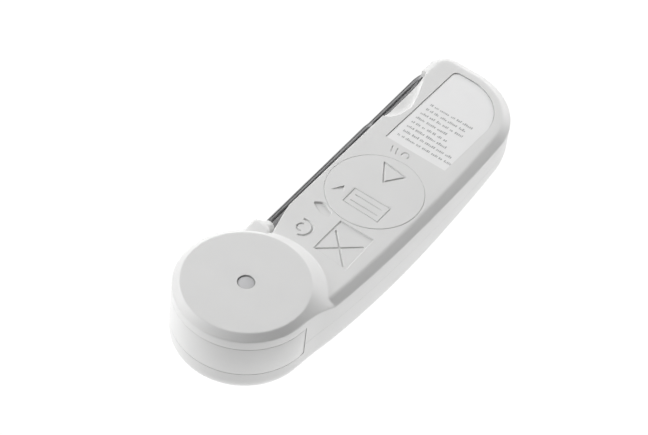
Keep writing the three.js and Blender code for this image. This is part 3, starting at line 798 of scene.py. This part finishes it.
# ------------------------------------------------------------------ probe
def turned_bar(name, profile, segments=64, material=None, sharp=32):
    """A round bar along the folded probe's axis. Each profile point is (radius, x)."""
    obj = spin(name, profile, segments, material, sharp=sharp)
    tilt = math.radians(PROBE_TILT)
    along, across = (math.cos(tilt), math.sin(tilt)), (-math.sin(tilt), math.cos(tilt))
    x0, y0 = PROBE_START
    for v in obj.data.vertices:
        a, b, c = v.co / MM
        c -= x0
        place = (x0 + c * along[0] + a * across[0], y0 + c * along[1] + a * across[1], PROBE_Z + b)
        v.co = Vector(place) * MM
    if is_inside_out(obj):
        obj.data.flip_normals()
    finish_mesh(obj.data, sharp)
    return obj


def is_inside_out(obj):
    bm = bmesh.new()
    bm.from_mesh(obj.data)
    inside_out = bm.calc_volume(signed=True) < 0
    bm.free()
    return inside_out


def blend_between(x, x0, x1, v0, v1):
    return v0 + (v1 - v0) * float(smoothstep(np.array((x - x0) / (x1 - x0))))


def neck_section(x):
    """One cross-section of the neck: a rounded block at the drum, round at the shaft."""
    end_r = SHAFT_R + 0.25
    middle_y = PROBE_START[1]
    outer = blend_between(x, 19.5, NECK_END_X + 1.2, 12.5, middle_y + end_r - 0.6)
    wall = 6.25 + max(0.0, x - 17.0) * 0.4
    inner = blend_between(x, 18.0, NECK_END_X - 0.6, wall, middle_y - end_r)
    half_y, middle = (outer - inner) / 2, (outer + inner) / 2
    half_z = blend_between(x, 18.5, NECK_END_X, CARRIER_Z[1] - PROBE_Z, end_r)
    power = blend_between(x, 19.0, NECK_END_X, 6.0, 2.2)
    ring = []
    for a in np.linspace(0, 2 * math.pi, 72, endpoint=False):
        c, s = math.cos(a), math.sin(a)
        y = middle + half_y * math.copysign(abs(c) ** (2 / power), c)
        z = PROBE_Z + half_z * math.copysign(abs(s) ** (2 / power), s)
        ring.append((x, y, z))
    return ring


def neck():
    stations = np.concatenate([[9, 12, 14], np.arange(15, NECK_END_X - 0.2, 0.4), [NECK_END_X - 0.12]])
    rings = [neck_section(x) for x in stations]
    last = rings[-1]
    middle = np.mean(last, axis=0)
    rings.append([(NECK_END_X, *(middle + (np.array(p) - middle) * 0.93)[1:]) for p in last])
    return loft("neck", rings)


DRUM_BORE_R = 3.05
DRUM_EDGE_R = 0.15
DRUM_ROOM_R = (4.2, 14.5)
DRUM_LID_R = (3.0, 15.2)


def rounded_edge(r, top, edge_r, angles):
    """(radius, z) points round the top edge of a turned solid, from its side to its top."""
    turns = np.radians(angles)
    return [(r - edge_r + edge_r * math.cos(a), top - edge_r + edge_r * math.sin(a)) for a in turns]


def probe_drum(material):
    z0, z1 = POCKET_Z[0] + DRUM_GAP, POCKET_Z[1] - DRUM_GAP
    edge = rounded_edge(DRUM_R, 0, DRUM_EDGE_R, (0, 30, 60, 90))
    profile = [(DRUM_BORE_R, z0)]
    profile += [(r, z0 - h) for r, h in reversed(edge)]
    profile += [(r, z1 + h) for r, h in edge]
    profile += [(DRUM_BORE_R, z1)]
    drum = boolean(spin("probe_drum", profile, 256, material), [neck()], "UNION")
    floor, lid = z0 + 1.5, z1 - 1.3
    inner, outer = DRUM_ROOM_R
    seat_inner, seat_outer = DRUM_LID_R
    hollow = spin("hollow", [
        (inner, floor), (outer, floor), (outer, lid), (seat_outer, lid),
        (seat_outer, z1 + 1), (seat_inner, z1 + 1), (seat_inner, lid), (inner, lid),
    ], 128)
    bore = turned_bar("bore", [(0, 5), (SHAFT_R + 0.03, 5), (SHAFT_R + 0.03, 30), (0, 30)])
    return boolean(drum, [hollow, bore])


def probe_tube(material):
    bore, start, taper = 1.1, SHAFT_LOW[0], 2.4
    steps = np.linspace(0, 1, 9)
    neck_down = [(blend_between(t, 0, 1, SHAFT_R, TIP_R), STEP_X - taper + taper * t) for t in steps]
    profile = [(bore, start), (SHAFT_R, start)] + neck_down + [(bore, STEP_X)]
    return turned_bar("probe_tube", profile, 72, material)


def probe_point(material):
    start, end = TIP_LOW[0], TIP_HIGH[0]
    bore, length, blunt, steps = 0.75, 4.2, 1.6, np.linspace(0, 0.995, 16)
    point = [(TIP_R * math.sqrt(1 - t ** blunt) + 0.02, end - length + length * t) for t in steps]
    profile = [(bore, start), (TIP_R, start)] + point + [(0, end), (0, end - 5), (bore, end - 6)]
    return turned_bar("probe_point", profile, 64, material)


def pin_cap(material):
    r, top = PIN_HIGH[0], PIN_HIGH[2]
    edge = rounded_edge(r, top, 0.25, (0, 22, 45, 67, 90))
    return spin("hinge_pin", [(0, PIN_LOW[2]), (r, PIN_LOW[2])] + edge + [(0, top + 0.03)], 96, material)


# ------------------------------------------------------------------ label and display
def rating_film(material):
    low, high = LABEL_LOW[2], LABEL_HIGH[2]
    layers = [(0.04, low), (0.0, low + 0.03), (0.0, high - 0.04), (0.03, high)]
    loops = [label_curve(0.02 + inset) for inset, z in layers]
    count = min(len(resample(loop, 0.4)) for loop in loops)
    rings = [[(x, y, z) for x, y in even_curve(loop, count)] for loop, (inset, z) in zip(loops, layers)]
    return loft("label_film", rings, material)


def label_print(material):
    """Rows of short dashes that stand for small print, and say nothing."""
    rng = random.Random(7)
    rows = 8
    z0, z1 = LABEL_HIGH[2] - 0.005, LABEL_HIGH[2] + 0.012
    verts, faces = [], []
    for row in range(rows):
        x = LABEL_LOW[0] + 2.3 + row * 1.87
        y = LABEL_HIGH[1] - 1.4 - rng.uniform(0, 0.6)
        last = LABEL_LOW[1] + rng.uniform(0.8, 5.5) + 0.25 * row
        while y > last:
            for _ in range(rng.randint(2, 6)):
                width, height = rng.uniform(0.18, 0.36), rng.uniform(0.4, 0.8)
                base = len(verts)
                for z in (z0, z1):
                    verts += [(x, y, z), (x + height, y, z), (x + height, y - width, z), (x, y - width, z)]
                faces += [(base + a, base + b, base + c, base + d) for a, b, c, d in BOX_FACES]
                y -= width + 0.17
            y -= rng.uniform(0.3, 0.6)
    return make("label_print", verts, faces, material)


BOX_FACES = ((0, 1, 2, 3), (7, 6, 5, 4), (0, 4, 5, 1), (1, 5, 6, 2), (2, 6, 7, 3), (3, 7, 4, 0))


def ring_prism(name, outer, inner, z0, z1, material):
    xy, tris = plan_triangles([outer, inner], [], np.zeros((0, 2)))
    return slab_mesh(name, xy, tris, np.full(len(xy), z1), np.full(len(xy), z0), material)


def window_pane(material):
    low, high = WINDOW_LOW[2], WINDOW_HIGH[2]
    layers = [(-0.25, low), (-0.1, low + 0.03), (0.0, low + 0.2), (0.0, high)]
    rings = [[(x, y, z) for x, y in even_curve(window_curve(inset), 160)] for inset, z in layers]
    return loft("window_pane", rings, material)


def window_mask(material):
    x0, y0 = LCD_LOW[:2] + 1.2
    x1, y1 = LCD_HIGH[:2] - 1.2
    opening = without_repeats(rounded_rectangle(x0, x1, y0, y1, 1.2))
    z = WINDOW_HIGH[2] + 0.02
    return ring_prism("window_mask", window_curve(0), opening, z, z + 0.1, material)


def lcd_digits(material):
    """Faint seven-bar digits, as an unlit display shows them."""
    verts, faces = [], []
    z0, z1 = LCD_LOW[2] - 0.03, LCD_LOW[2] - 0.005
    centre_y = (LCD_LOW[1] + LCD_HIGH[1]) / 2
    half_w, half_h, thick = 2.3, 2.55, 0.3

    def bar(xa, ya, xb, yb):
        along = np.array([xb - xa, yb - ya]) / math.hypot(xb - xa, yb - ya)
        side = np.array([-along[1], along[0]]) * thick
        a, b = np.array([xa, ya]) + along * 0.3, np.array([xb, yb]) - along * 0.3
        inset = along * thick
        shape = [a, a + inset + side, b - inset + side, b, b - inset - side, a + inset - side]
        base = len(verts)
        verts.extend((x, y, z) for z in (z0, z1) for x, y in shape)
        faces.append(tuple(range(base, base + 6)))
        faces.append(tuple(range(base + 11, base + 5, -1)))
        faces.extend((base + i, base + (i + 1) % 6, base + 6 + (i + 1) % 6, base + 6 + i) for i in range(6))

    for digit in range(4):
        x = LCD_LOW[0] + 6.2 + digit * 7.6
        left, right = x - half_w, x + half_w
        for y in (centre_y - 2 * half_h, centre_y, centre_y + 2 * half_h):
            bar(left, y, right, y)
        for side in (left, right):
            bar(side, centre_y - 2 * half_h, side, centre_y)
            bar(side, centre_y, side, centre_y + 2 * half_h)
    return make("display_digits", verts, faces, material)


# ------------------------------------------------------------------ materials
class Surface:
    """A node material built round one principled shader, with places given in millimetres."""

    def __init__(self, name, color, roughness, metallic=0.0):
        self.material = bpy.data.materials.new(name)
        self.material.use_nodes = True
        self.tree = self.material.node_tree
        self.shader = self.tree.nodes["Principled BSDF"]
        self.color = (*color, 1)
        self.roughness = roughness
        self.shader.inputs["Base Color"].default_value = self.color
        self.shader.inputs["Roughness"].default_value = roughness
        self.shader.inputs["Metallic"].default_value = metallic
        place = self.node("ShaderNodeTexCoord").outputs["Object"]
        self.place = self.vector("SCALE", place, scale=1 / MM)

    def node(self, kind, inputs=None, **settings):
        node = self.tree.nodes.new(kind)
        for key, value in settings.items():
            setattr(node, key, value)
        for key, value in (inputs or {}).items():
            if isinstance(value, bpy.types.NodeSocket):
                self.tree.links.new(value, node.inputs[key])
            else:
                node.inputs[key].default_value = value
        return node

    def vector(self, operation, a, b=None, scale=None):
        inputs = {0: a}
        if b is not None:
            inputs[1] = b
        if scale is not None:
            inputs["Scale"] = scale
        return self.node("ShaderNodeVectorMath", inputs, operation=operation).outputs[0]

    def math(self, operation, a, b=0.0, clamp=False):
        return self.node("ShaderNodeMath", {0: a, 1: b}, operation=operation, use_clamp=clamp).outputs[0]

    def noise(self, size, detail=2.0, stretch=(1, 1, 1), rough=0.5):
        """Noise from 0 to 1 whose patches are about size millimetres across."""
        place = self.vector("MULTIPLY", self.place, stretch)
        inputs = {"Vector": place, "Scale": 1 / size, "Detail": detail, "Roughness": rough}
        return self.node("ShaderNodeTexNoise", inputs).outputs["Fac"]

    def spread(self, fac, low, high):
        inputs = {"Value": fac, "From Min": 0.3, "From Max": 0.7, "To Min": low, "To Max": high}
        return self.node("ShaderNodeMapRange", inputs).outputs["Result"]

    def mix(self, fac, a, b):
        node = self.node("ShaderNodeMix", data_type="RGBA")
        for socket, value in ((0, fac), (6, a), (7, b)):
            if isinstance(value, bpy.types.NodeSocket):
                self.tree.links.new(value, node.inputs[socket])
            else:
                node.inputs[socket].default_value = value
        return node.outputs[2]

    def shade(self, amount):
        """The surface's own colour made lighter or darker."""
        return tuple(min(1.0, c * amount) for c in self.color[:3]) + (1,)

    def mottle(self, size, spread, detail=3.0, stretch=(1, 1, 1)):
        """A slight, broad change of colour."""
        fac = self.spread(self.noise(size, detail, stretch), 0, 1)
        return self.mix(fac, self.shade(1 - spread), self.shade(1 + spread))

    def painted_crevice_shade(self, color, reach, crevice_shade_amount):
        """Painted shade: the colour made darker where the surface is closed in, read from an
        ambient-occlusion node, in place of the shade that falls in creases, recesses and gaps.
        """
        inputs = {"Distance": reach * MM}
        near = self.node("ShaderNodeAmbientOcclusion", inputs, samples=6).outputs["AO"]
        return self.mix(self.math("POWER", near, 0.8), self.mix(crevice_shade_amount, color, (0.02, 0.02, 0.02, 1)), color)

    def bump(self, heights, strength=1.0, edge=0.0):
        """Height in millimetres, added to the surface, with the edges softened by a small radius."""
        inputs = {"Height": heights, "Strength": strength, "Distance": MM}
        if edge:
            inputs["Normal"] = self.node("ShaderNodeBevel", {"Radius": edge * MM}, samples=6).outputs[0]
        self.set("Normal", self.node("ShaderNodeBump", inputs).outputs[0])

    def set(self, name, value):
        if isinstance(value, bpy.types.NodeSocket):
            self.tree.links.new(value, self.shader.inputs[name])
        else:
            self.shader.inputs[name].default_value = value
        return self


def plastic(name, color, roughness=0.4, grain=0.004, grain_size=0.22, mottle=0.012, crevice_shade_amount=0.5, edge=0.06):
    s = Surface(name, color, roughness)
    color = s.mottle(9.0, mottle)
    # Painted shade: the base colour is darkened in creases, recesses and gaps.
    s.set("Base Color", s.painted_crevice_shade(color, 0.5, crevice_shade_amount))
    s.set("Roughness", s.spread(s.noise(3.0, 4.0), roughness - 0.04, roughness + 0.05))
    fine = s.math("MULTIPLY", s.noise(grain_size, 3.0, rough=0.6), grain)
    s.bump(fine, edge=edge)
    return s.material


def brushed(name, color, roughness, stretch, streak=0.08, size=0.12, height=0.003, crevice_shade_amount=0.4):
    """Metal with grinding streaks along one axis."""
    s = Surface(name, color, roughness, 1.0)
    streaks = s.noise(size, 3.0, stretch)
    color = s.mix(s.spread(streaks, 0, 1), s.shade(1 - streak), s.shade(1 + streak))
    # Painted shade: the base colour is darkened in creases, recesses and gaps.
    s.set("Base Color", s.painted_crevice_shade(color, 0.4, crevice_shade_amount))
    s.set("Roughness", s.spread(s.noise(size * 1.7, 2.0, stretch), roughness - 0.05, roughness + 0.07))
    s.bump(s.math("MULTIPLY", streaks, height), edge=0.03)
    return s.material


def rubber(name, color):
    s = Surface(name, color, 0.62)
    # Painted shade: the base colour is darkened in creases, recesses and gaps.
    s.set("Base Color", s.painted_crevice_shade(s.mottle(2.5, 0.12), 0.6, 0.4))
    speckle = s.noise(0.12, 4.0, rough=0.7)
    s.set("Roughness", s.spread(speckle, 0.52, 0.75))
    s.bump(s.math("MULTIPLY", speckle, 0.012), edge=0.04)
    return s.material


def film(name, color):
    s = Surface(name, color, 0.34)
    # Painted shade: the base colour is darkened in creases, recesses and gaps.
    s.set("Base Color", s.painted_crevice_shade(s.mottle(5.0, 0.01), 0.3, 0.3))
    s.set("Roughness", s.spread(s.noise(1.5, 4.0), 0.3, 0.42))
    s.bump(s.math("MULTIPLY", s.noise(0.6, 3.0), 0.004))
    return s.material


def print_ink(name, color):
    s = Surface(name, color, 0.55)
    patchy = s.noise(0.25, 4.0, rough=0.7)
    s.set("Base Color", s.mix(s.spread(patchy, 0, 1), s.shade(0.8), s.shade(1.35)))
    s.set("Roughness", s.spread(patchy, 0.45, 0.65))
    return s.material


def glass(name, color, roughness=0.06):
    s = Surface(name, color, roughness)
    s.set("Base Color", s.mottle(6.0, 0.02))
    s.set("Roughness", s.spread(s.noise(1.2, 4.0), roughness * 0.6, roughness * 1.8))
    s.set("Transmission Weight", 0.9)
    s.set("IOR", 1.46)
    s.bump(s.math("MULTIPLY", s.noise(4.0, 2.0), 0.002))
    return s.material


def display(name, color):
    """A grey-green reflective display with a fine pixel-like weave of its polariser."""
    s = Surface(name, color, 0.28)
    lines = {"Vector": s.place, "Scale": 2.4, "Distortion": 0.6}
    weave = s.node("ShaderNodeTexWave", lines, wave_type="BANDS")
    shade = s.mix(s.spread(weave.outputs["Fac"], 0, 1), s.shade(0.94), s.shade(1.04))
    # Painted shade: the base colour is darkened in creases, recesses and gaps.
    s.set("Base Color", s.painted_crevice_shade(s.mix(0.5, shade, s.mottle(8.0, 0.05)), 0.6, 0.3))
    s.set("Roughness", s.spread(s.noise(0.9, 3.0), 0.2, 0.34))
    s.bump(s.math("MULTIPLY", s.noise(0.2, 2.0), 0.002))
    return s.material


def board(name, color):
    """Solder resist over raised tracks."""
    s = Surface(name, color, 0.33)
    tracks = s.node("ShaderNodeTexBrick", {
        "Vector": s.place, "Scale": 0.55, "Mortar Size": 0.06, "Mortar Smooth": 0.2, "Bias": -0.2,
        "Brick Width": 1.7, "Row Height": 0.42,
    })
    raised = tracks.outputs["Fac"]
    color = s.mix(raised, s.mottle(3.0, 0.08), s.shade(1.9))
    # Painted shade: the base colour is darkened in creases, recesses and gaps.
    s.set("Base Color", s.painted_crevice_shade(color, 0.7, 0.5))
    s.set("Roughness", s.spread(s.noise(0.8, 3.0), 0.25, 0.42))
    height = s.math("MULTIPLY", raised, 0.03)
    s.bump(s.math("ADD", height, s.math("MULTIPLY", s.noise(0.3), 0.006)), edge=0.03)
    return s.material


MATERIALS = {
    "white_shell": plastic("white_shell", (0.78, 0.78, 0.775)),
    "label_film": film("label_film_white", (0.9, 0.9, 0.9)),
    "label_ink": print_ink("label_ink", (0.4, 0.4, 0.405)),
    "rubber_seal": rubber("rubber_seal", (0.05, 0.05, 0.055)),
    "probe_steel": brushed("probe_steel", (0.3, 0.3, 0.304), 0.28, (0.05, 1, 1), 0.06, 0.12, 0.0015),
    "plated_steel": brushed("plated_steel", (0.62, 0.62, 0.62), 0.26, (1, 1, 0.2), 0.05),
    "spring_metal": brushed("spring_metal", (0.68, 0.65, 0.55), 0.3, (0.1, 1, 1)),
    "bush_brass": brushed("bush_brass", (0.7, 0.56, 0.3), 0.3, (0.6, 0.6, 4)),
    "pin_grey": plastic("pin_grey", (0.6, 0.6, 0.61), 0.42, 0.003, 0.15, 0.02),
    "board_green": board("board_green", (0.03, 0.17, 0.07)),
    "black_plastic": plastic("black_plastic", (0.03, 0.03, 0.032), 0.38, 0.006, 0.15, 0.1, 0.3),
    "display_glass": display("display_glass", (0.46, 0.52, 0.47)),
    "display_ink": print_ink("display_ink", (0.33, 0.38, 0.34)),
    "window_clear": glass("window_clear", (0.92, 0.95, 0.95)),
    "red_wire": rubber("red_wire", (0.5, 0.06, 0.05)),
}


# ------------------------------------------------------------------ the object
def use(obj, body, slot, *nodes):
    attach(obj, body)
    if nodes:
        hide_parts(*nodes)
    return obj


def build_pieces():
    m = MATERIALS
    use(back_shell(m["white_shell"]), "housing", "white_shell", "back_shell")
    use(front_shell(m["white_shell"]), "housing", "white_shell", "front_shell")
    use(rating_film(m["label_film"]), "housing", "label_film", "rating_label")
    use(label_print(m["label_ink"]), "housing", "label_film")
    use(pin_cap(m["pin_grey"]), "housing", "pin_grey", "pivot_pin")
    use(window_pane(m["window_clear"]), "housing", "window_clear", "display_window")
    use(window_mask(m["black_plastic"]), "housing", "black_plastic")
    use(lcd_digits(m["display_ink"]), "housing", "display_glass")
    use(battery_cover(m["white_shell"]), "cover", "white_shell", "battery_cover")
    use(probe_drum(m["white_shell"]), "probe", "white_shell", "probe_carrier")
    use(probe_tube(m["probe_steel"]), "probe", "probe_steel", "probe_shaft")
    use(probe_point(m["probe_steel"]), "probe", "probe_steel", "probe_tip")


def paint_frame():
    """Gives each CAD node its own slot's material."""
    for name, node in frame["nodes"].items():
        old = node.data.materials[0].name if node.data.materials else ""
        slot = old.split(".")[0]
        if slot not in MATERIALS:
            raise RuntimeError(f"{name} has no material of its own: {old}")
        node.data.materials.clear()
        node.data.materials.append(MATERIALS[slot])


# ------------------------------------------------------------------ studio
def emission_floor():
    """A pale table that stays plain white to the camera and gives soft light from below."""
    material = bpy.data.materials.new("table_white")
    material.use_nodes = True
    nodes, links = material.node_tree.nodes, material.node_tree.links
    nodes.clear()
    out = nodes.new("ShaderNodeOutputMaterial")
    seen, lit = nodes.new("ShaderNodeEmission"), nodes.new("ShaderNodeEmission")
    clear = nodes.new("ShaderNodeBsdfTransparent")
    seen.inputs["Strength"].default_value = TABLE_WHITE
    lit.inputs["Strength"].default_value = TABLE_LIGHT
    path, facing = nodes.new("ShaderNodeLightPath"), nodes.new("ShaderNodeNewGeometry")
    upper, either = nodes.new("ShaderNodeMixShader"), nodes.new("ShaderNodeMixShader")
    links.new(path.outputs["Is Camera Ray"], upper.inputs[0])
    links.new(lit.outputs[0], upper.inputs[1])
    links.new(seen.outputs[0], upper.inputs[2])
    links.new(facing.outputs["Backfacing"], either.inputs[0])
    links.new(upper.outputs[0], either.inputs[1])
    links.new(clear.outputs[0], either.inputs[2])
    links.new(either.outputs[0], out.inputs[0])
    return material


def table():
    mesh = bpy.data.meshes.new("table")
    half = 4.0
    z = CAD_BOUNDS[0][2] - 0.0003
    corners = [(x, y, z) for x, y in rectangle(-half, half, -half, half)]
    mesh.from_pydata(corners, [], [(0, 1, 2, 3)])
    mesh.materials.append(emission_floor())
    floor = link(bpy.data.objects.new("table", mesh))


def softbox(name, azimuth, elevation, size, glow):
    """A soft panel aimed at the middle of the object, as bright to look at as glow times white."""
    light = bpy.data.lights.new(name, "AREA")
    light.shape = "RECTANGLE"
    light.size, light.size_y = size
    light.energy = glow * math.pi * size[0] * size[1]
    a, e = math.radians(azimuth), math.radians(elevation)
    direction = Vector((math.cos(a) * math.cos(e), math.sin(a) * math.cos(e), math.sin(e)))
    obj = link(bpy.data.objects.new(name, light))
    obj.location = Vector(SOFTBOX_AIM) + direction * SOFTBOX_DISTANCE
    obj.rotation_mode = "QUATERNION"
    obj.rotation_quaternion = direction.to_track_quat("Z", "Y")


# Each softbox: its azimuth from +X, its elevation, its width and height in metres, and its brightness.
SOFTBOXES = (
    ("end", 0, 16, (0.9, 0.5), 5.7),
    ("right", 30, 30, (0.8, 0.6), 1.3),
    ("key", 95, 40, (0.8, 0.8), 4.7),
    ("back_left", 130, 38, (0.8, 0.8), 3.0),
    ("side", 293, 10, (0.6, 0.35), 5.0),
)
SOFTBOX_DISTANCE = 1.2
SOFTBOX_AIM = (0.04, 0, 0.01)
TABLE_LIGHT = 1.14
TABLE_WHITE = 1.05
ROOM_LIGHT = 0.01
CAMERA_AT = (-313.4, -210.5, 453.6)
CAMERA_AZIMUTH = -58.44
CAMERA_ELEVATION = 47.43
CAMERA_ROLL = 7.02
CAMERA_LENS = 144.6


def studio():
    scene = bpy.context.scene
    scene.view_settings.view_transform = "Standard"
    scene.view_settings.look = "None"
    world = bpy.data.worlds.new("room")
    world.use_nodes = True
    world.node_tree.nodes["Background"].inputs["Color"].default_value = (1, 1, 1, 1)
    world.node_tree.nodes["Background"].inputs["Strength"].default_value = ROOM_LIGHT
    scene.world = world
    for name, azimuth, elevation, size, glow in SOFTBOXES:
        softbox(name, azimuth, elevation, size, glow)


def camera():
    data = bpy.data.cameras.new("camera")
    data.lens = CAMERA_LENS
    data.sensor_width = 36
    data.sensor_fit = "HORIZONTAL"
    data.clip_start, data.clip_end = 0.01, 20
    obj = link(bpy.data.objects.new("camera", data))
    a, e, roll = (math.radians(v) for v in (CAMERA_AZIMUTH, CAMERA_ELEVATION, CAMERA_ROLL))
    back = Vector((math.sin(a) * math.cos(e), -math.cos(a) * math.cos(e), math.sin(e)))
    level = Vector((math.cos(a), math.sin(a), 0))
    right = level * math.cos(roll) + back.cross(level) * math.sin(roll)
    up = back.cross(right)
    place = Matrix((right, up, back)).transposed().to_4x4()
    place.translation = Vector(CAMERA_AT) * MM
    obj.matrix_world = place
    bpy.context.scene.camera = obj


paint_frame()
build_pieces()
table()
studio()
camera()
